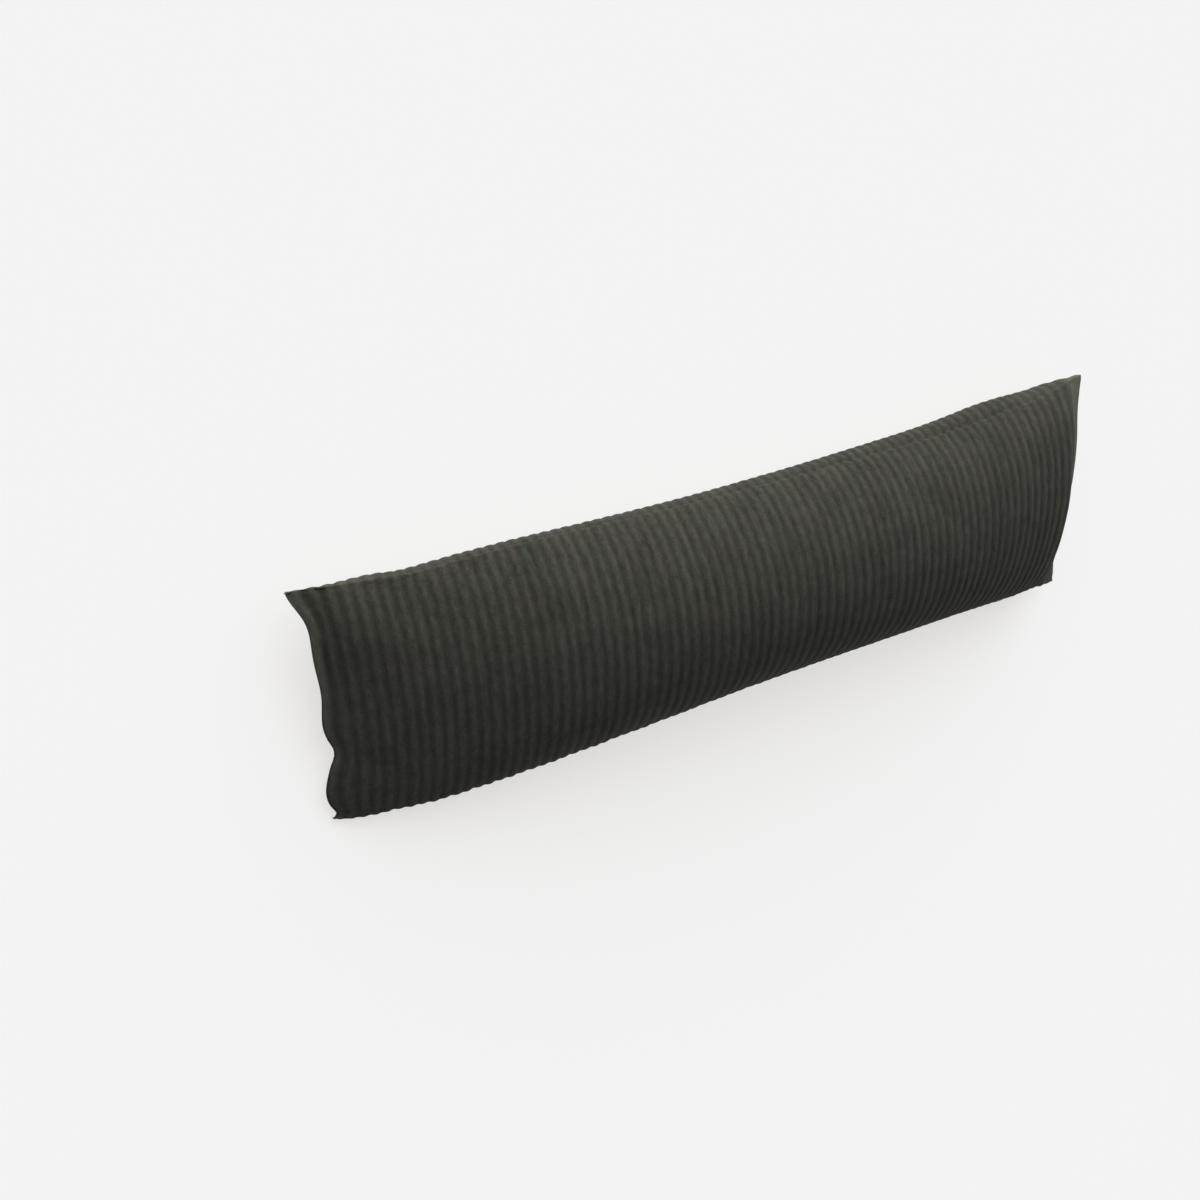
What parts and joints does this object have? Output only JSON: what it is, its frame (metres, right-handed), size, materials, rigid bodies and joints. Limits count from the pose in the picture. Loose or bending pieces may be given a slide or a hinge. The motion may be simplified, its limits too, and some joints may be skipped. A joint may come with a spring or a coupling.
{
  "type": "long cushion",
  "caption": "Long, softly filled cushion in wide-wale corduroy with a plain knife-edge seam and an ear at each corner, lying on its back.",
  "frame": {"origin": "on the surface that the cushion lies on, under the middle of its outline box", "axes": "+X along the cushion, +Y across it towards its upper seam, +Z out of its face"},
  "size_m": [1.052, 0.3018, 0.1236],
  "materials": {
    "corduroy": "soft cut pile in wide ribs, matt"
  },
  "bodies": {
    "root": {"cushion": "corduroy"}
  },
  "joints": []
}
